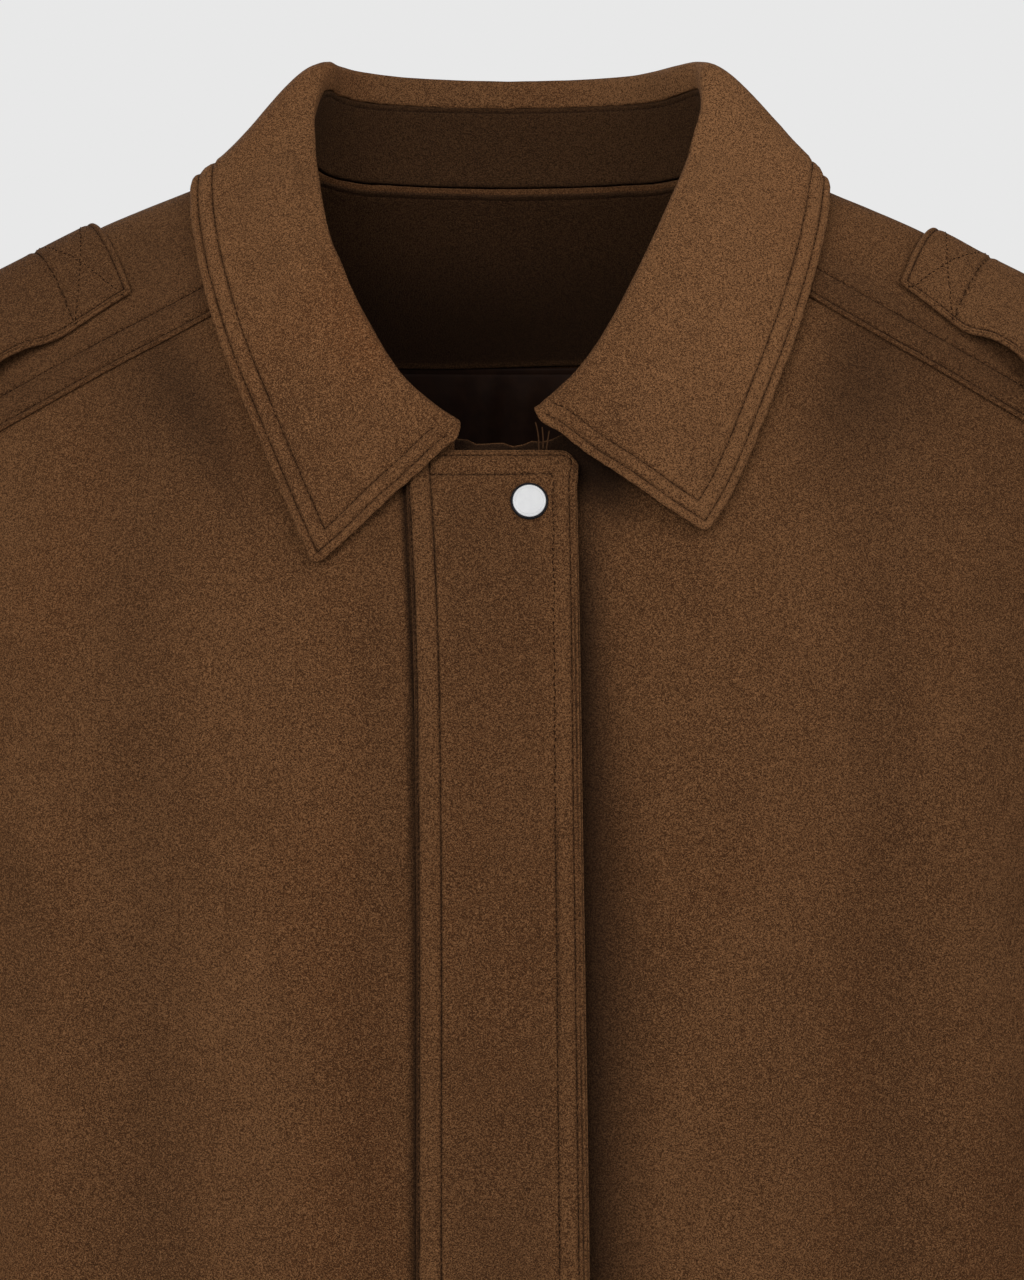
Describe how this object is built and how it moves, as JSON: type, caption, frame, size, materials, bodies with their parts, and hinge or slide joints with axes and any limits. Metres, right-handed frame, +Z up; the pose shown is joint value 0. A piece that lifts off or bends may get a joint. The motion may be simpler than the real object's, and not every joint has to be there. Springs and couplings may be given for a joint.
{
  "type": "suede jacket",
  "caption": "Boxy suede jacket in its worn, hollow form, with a turn-down collar, a snap-closed front placket, shoulder straps, and open neck, hem and cuffs.",
  "frame": {"origin": "midway between the two shoulder points beside the neck, where the wearer holds the jacket up", "axes": "+Z up, -Y towards the front of the jacket, +X towards the wearer's left"},
  "size_m": [0.818, 0.2568, 0.6994],
  "materials": {
    "suede": "napped brown suede",
    "lining": "dark brown satin",
    "snap_white": "smooth white coating on the snap cap",
    "snap_steel": "plain steel"
  },
  "bodies": {
    "root": {"front_right": "suede", "front_left": "suede", "back": "suede", "sleeve_right": "suede", "sleeve_left": "suede", "collar_stand": "suede", "collar_leaf": "suede", "placket": "suede", "back_neck_facing": "suede", "epaulette_right": "suede", "epaulette_left": "suede", "back_lining": "lining", "snap_cap": "snap_white", "snap_socket": "snap_steel", "snap_stud": "snap_steel"}
  },
  "joints": []
}
